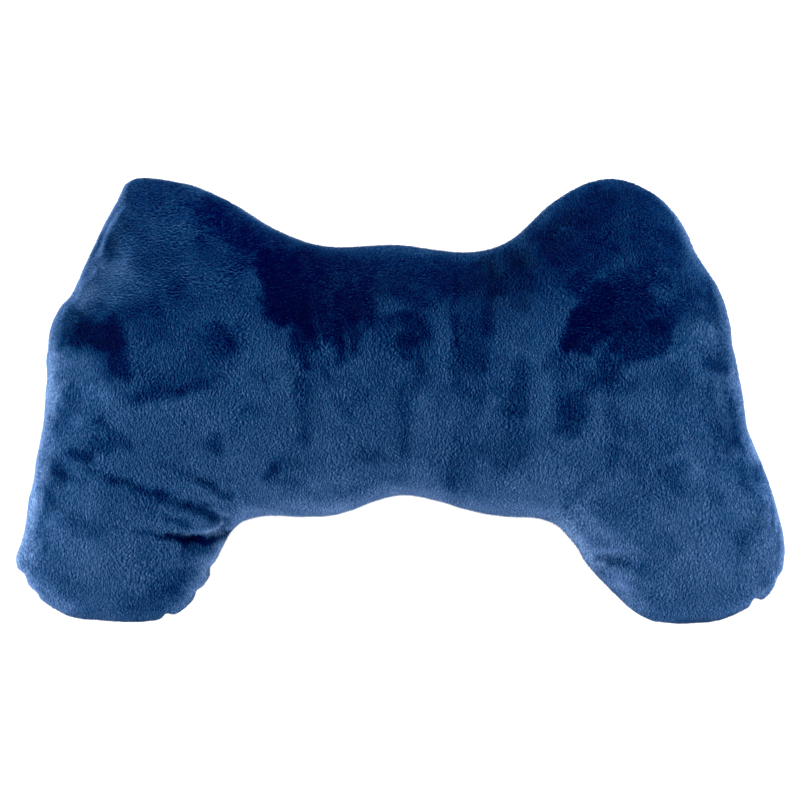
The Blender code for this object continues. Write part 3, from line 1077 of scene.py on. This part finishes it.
def pile_grain_group():
    """Tips and gaps of the pile, about -1 to 1, drawn out down the piece or across it.

    Its places drift slowly, so that the grain doesn't line up. The grain is partly painted light
    and shade: a noise less itself a step aside reads as a relief lit from one side.
    """
    group, start, end = node_group(
        "pile_grain",
        [
            ("Turned", "NodeSocketFloat", 0.0),
            ("Grain size mm", "NodeSocketFloat", 1.0),
            ("Strength", "NodeSocketFloat", 1.0),
        ],
        [("Grain", "NodeSocketFloat")],
    )
    place = group.nodes.new("ShaderNodeTexCoord")
    drift_scale, drift_reach = 40.0, 0.010
    drift = group.nodes.new("ShaderNodeTexNoise")
    drift.inputs["Scale"].default_value = drift_scale
    drift.inputs["Detail"].default_value = 0.0
    group.links.new(place.outputs["Object"], drift.inputs["Vector"])
    bent = group.nodes.new("ShaderNodeVectorMath")
    bent.operation = "MULTIPLY_ADD"
    bent.inputs[1].default_value = (drift_reach, drift_reach, drift_reach)
    group.links.new(drift.outputs["Color"], bent.inputs[0])
    group.links.new(place.outputs["Object"], bent.inputs[2])
    scale = math_node(group, "DIVIDE", 1.0 / MM, start.outputs["Grain size mm"])
    down = stepped_noise(group, bent.outputs[0], scale, (1, 0, 0), (1.0, 0.6, 0.8))
    across = stepped_noise(group, bent.outputs[0], scale, (0, 1, 0), (0.6, 1.0, 0.8))
    blend = group.nodes.new("ShaderNodeMix")
    group.links.new(start.outputs["Turned"], blend.inputs["Factor"])
    group.links.new(down, blend.inputs["A"])
    group.links.new(across, blend.inputs["B"])
    contrast = 3.0  # brings the small difference up to about 1
    value = math_node(group, "MULTIPLY", blend.outputs["Result"], contrast)
    value = math_node(group, "MULTIPLY", value, start.outputs["Strength"])
    group.links.new(value, end.inputs["Grain"])
    return group


def nap_colour_group():
    """Colour of the pile: along the blues by nap, tuft and grain, and dimmer toward the root, a painted
    shade.

    Tuft and grain spread the colour more where the nap is bright.
    """
    group, start, end = node_group(
        "nap_colour",
        [
            ("Nap", "NodeSocketFloat", 1.0),
            ("Tuft", "NodeSocketFloat", 0.5),
            ("Grain", "NodeSocketFloat", 0.0),
            ("Reach", "NodeSocketFloat", 1.0),
            ("Tuft contrast", "NodeSocketFloat", 0.4),
            ("Root shade", "NodeSocketFloat", 0.5),
        ],
        [("Color", "NodeSocketColor")],
    )
    spread = math_node(group, "SUBTRACT", start.outputs["Tuft"], 0.5)
    spread = math_node(group, "MULTIPLY", spread, start.outputs["Tuft contrast"])
    spread = math_node(group, "ADD", spread, start.outputs["Grain"])
    least_spread, spread_by_nap = 0.74, 0.3
    weight = math_node(group, "MULTIPLY", start.outputs["Nap"], spread_by_nap)
    weight = math_node(group, "ADD", weight, least_spread)
    spread = math_node(group, "MULTIPLY", spread, weight)
    place = math_node(group, "ADD", start.outputs["Nap"], spread)
    place = math_node(group, "DIVIDE", place, BRIGHTEST)
    blues = group.nodes.new("ShaderNodeValToRGB")
    ramp = blues.color_ramp
    while len(ramp.elements) < len(BLUES):
        ramp.elements.new(0.5)
    for element, (position, colour) in zip(ramp.elements, BLUES):
        element.position = position / BRIGHTEST
        element.color = (*colour, 1.0)
    group.links.new(place, blues.inputs["Fac"])
    # Painted shade: dimmer toward the root, where the pile shades itself.
    dim = math_node(group, "SUBTRACT", 1.0, start.outputs["Reach"])
    dim = math_node(group, "MULTIPLY", dim, start.outputs["Root shade"])
    dim = math_node(group, "SUBTRACT", 1.0, dim)
    shaded = group.nodes.new("ShaderNodeVectorMath")
    shaded.operation = "SCALE"
    group.links.new(blues.outputs["Color"], shaded.inputs[0])
    group.links.new(dim, shaded.inputs["Scale"])
    group.links.new(shaded.outputs[0], end.inputs["Color"])
    return group


def attribute_node(tree, name):
    """An attribute's number."""
    node = tree.nodes.new("ShaderNodeAttribute")
    node.attribute_name = name
    return node.outputs["Fac"]


def plush_material(name, root_shade, tuft_contrast, grain_strength, sheen):
    """Plush: the nap's colour on a rough cloth with a velvet sheen."""
    material = bpy.data.materials.new(name)
    material.use_nodes = True
    tree = material.node_tree
    shader = tree.nodes["Principled BSDF"]
    colour = tree.nodes.new("ShaderNodeGroup")
    colour.node_tree = bpy.data.node_groups["nap_colour"]
    colour.inputs["Tuft contrast"].default_value = tuft_contrast
    colour.inputs["Root shade"].default_value = root_shade
    grain = tree.nodes.new("ShaderNodeGroup")
    grain.node_tree = bpy.data.node_groups["pile_grain"]
    grain.inputs["Strength"].default_value = grain_strength
    tree.links.new(attribute_node(tree, "turned"), grain.inputs["Turned"])
    tree.links.new(grain.outputs["Grain"], colour.inputs["Grain"])
    tree.links.new(attribute_node(tree, "nap"), colour.inputs["Nap"])
    tree.links.new(attribute_node(tree, "tuft"), colour.inputs["Tuft"])
    tree.links.new(attribute_node(tree, "reach"), colour.inputs["Reach"])
    tree.links.new(colour.outputs["Color"], shader.inputs["Base Color"])
    shader.inputs["Roughness"].default_value = 0.85
    shader.inputs["Specular IOR Level"].default_value = 0.0
    shader.inputs["Sheen Weight"].default_value = sheen
    shader.inputs["Sheen Roughness"].default_value = 0.3
    shader.inputs["Sheen Tint"].default_value = (0.12, 0.22, 0.62, 1)
    return material


# ------------------------------------------------------------------ making it
cloth = filled_form(stations=240, steps=80)
swell(cloth, SWELL_LIMIT * MM)
fine = cloth.modifiers.new("fine", "SUBSURF")
fine.levels = fine.render_levels = 1
apply_modifiers(cloth)
press_folds(cloth)
cloth.data.shade_smooth()
cloth_points = points_of(cloth.data)
add_numbers(cloth.data, "nap", nap_and_painted_light(cloth_points, normals_of(cloth.data)))
add_numbers(cloth.data, "tuft", np.full(len(cloth_points), 0.5))
# The cloth under the pile counts as near the roots, so it gets the painted root shade.
add_numbers(cloth.data, "reach", np.full(len(cloth_points), 0.3))
add_numbers(cloth.data, "turned", np.cos(np.radians(brushed_heading(cloth_points))) ** 2)
cloth_map(cloth.data)
nap_colour_group()
pile_grain_group()
ground_material = plush_material(
    "plush_ground", root_shade=0.3, tuft_contrast=0.0, grain_strength=0.5, sheen=0.0
)
cloth.data.materials.append(ground_material)
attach(cloth, "root")
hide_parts("cushion")

pile_material = plush_material(
    "plush_pile", root_shade=0.2, tuft_contrast=0.8, grain_strength=0.65, sheen=0.06
)
for panel, in_front, strips, count, first_seed in PILES:
    for strip in range(strips):
        share = partial(strip_share, strip=strip, strips=strips, front=in_front)
        pile = tufts(cloth, f"pile_{panel}_{strip + 1}", count, share, first_seed + strip)
        pile.data.materials.append(pile_material)
        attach(pile, "root")


# ------------------------------------------------------------------ floor, camera, light
def make_floor():
    """A plain pale floor, square."""
    half = 3.0
    points = np.array([(-half, -half, 0), (half, -half, 0), (half, half, 0), (-half, half, 0)])
    floor = new_mesh("floor", points, np.array([[0, 1, 2, 3]]))
    paint = bpy.data.materials.new("floor_paint")
    paint.use_nodes = True
    shader = paint.node_tree.nodes["Principled BSDF"]
    shader.inputs["Base Color"].default_value = (0.9, 0.9, 0.9, 1)
    shader.inputs["Roughness"].default_value = 0.9
    floor.data.materials.append(paint)


def make_camera():
    """Straight above the front, with a long lens."""
    data = bpy.data.cameras.new("camera")
    data.lens = 100.0
    data.sensor_width = 36.0
    view_width = 0.48
    camera = bpy.data.objects.new("camera", data)
    camera.location = (0, 0, SEAM_HEIGHT * MM + view_width * data.lens / data.sensor_width)
    bpy.context.scene.collection.objects.link(camera)
    bpy.context.scene.camera = camera


def area_light(name, place, size, power):
    """A square light that faces the cushion."""
    data = bpy.data.lights.new(name, "AREA")
    data.energy = power
    data.size = size
    light = bpy.data.objects.new(name, data)
    light.location = place
    aim = Vector((0.0, 0.0, 0.05)) - Vector(place)
    light.rotation_euler = aim.to_track_quat("-Z", "Y").to_euler()
    bpy.context.scene.collection.objects.link(light)


LIGHTS = (
    # name, place, size, power
    ("grip_side", (0.0, -1.5, 0.45), 0.8, 30.0),
    ("left_end", (-1.6, 0.0, 0.28), 0.8, 55.0),
    ("right_end", (1.6, 0.0, 0.28), 0.8, 50.0),
    ("horn_side", (0.0, 1.2, 1.2), 0.9, 35.0),
    ("horn_end", (0.0, 1.6, 0.3), 0.8, 42.0),
)


def make_light():
    """A white surround, with soft boxes low at both ends and at both long sides."""
    world = bpy.data.worlds.new("surround")
    world.use_nodes = True
    background = world.node_tree.nodes["Background"]
    background.inputs["Color"].default_value = (1, 1, 1, 1)
    background.inputs["Strength"].default_value = 1.83
    bpy.context.scene.world = world
    for name, place, size, power in LIGHTS:
        area_light(name, place, size, power)
    bpy.context.scene.view_settings.view_transform = "Standard"


make_floor()
make_camera()
make_light()
